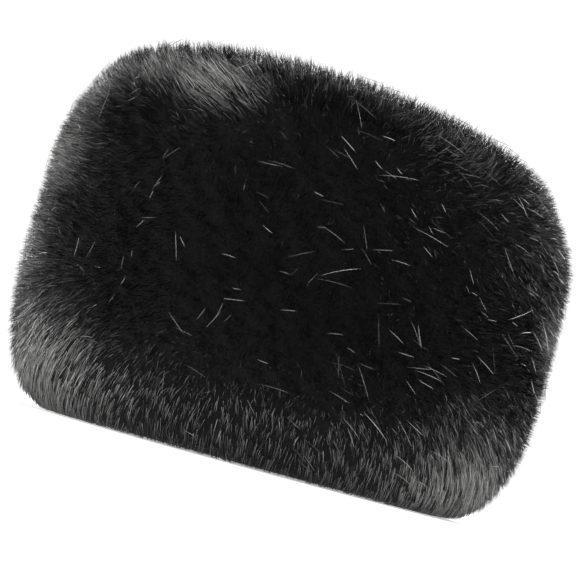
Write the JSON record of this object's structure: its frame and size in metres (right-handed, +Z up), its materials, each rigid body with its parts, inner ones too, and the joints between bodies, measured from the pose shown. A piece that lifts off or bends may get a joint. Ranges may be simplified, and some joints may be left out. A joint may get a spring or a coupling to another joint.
{
  "type": "papakha fur hat",
  "caption": "Tall oval papakha of deep black fur with a softly rounded crown, a rim turned under and an open lined hollow for the head.",
  "frame": {"origin": "on the surface that the rim rests on, under the middle of the hat", "axes": "+Z up out of the crown, -Y towards the front of the hat, +X to the side where the crown is lower"},
  "size_m": [0.2496, 0.2756, 0.1709],
  "materials": {
    "black_fur": "deep glossy pile",
    "lining_cloth": "dull satin"
  },
  "bodies": {
    "root": {"fur_band": "black_fur", "fur_crown": "black_fur", "lining": "lining_cloth"}
  },
  "joints": []
}
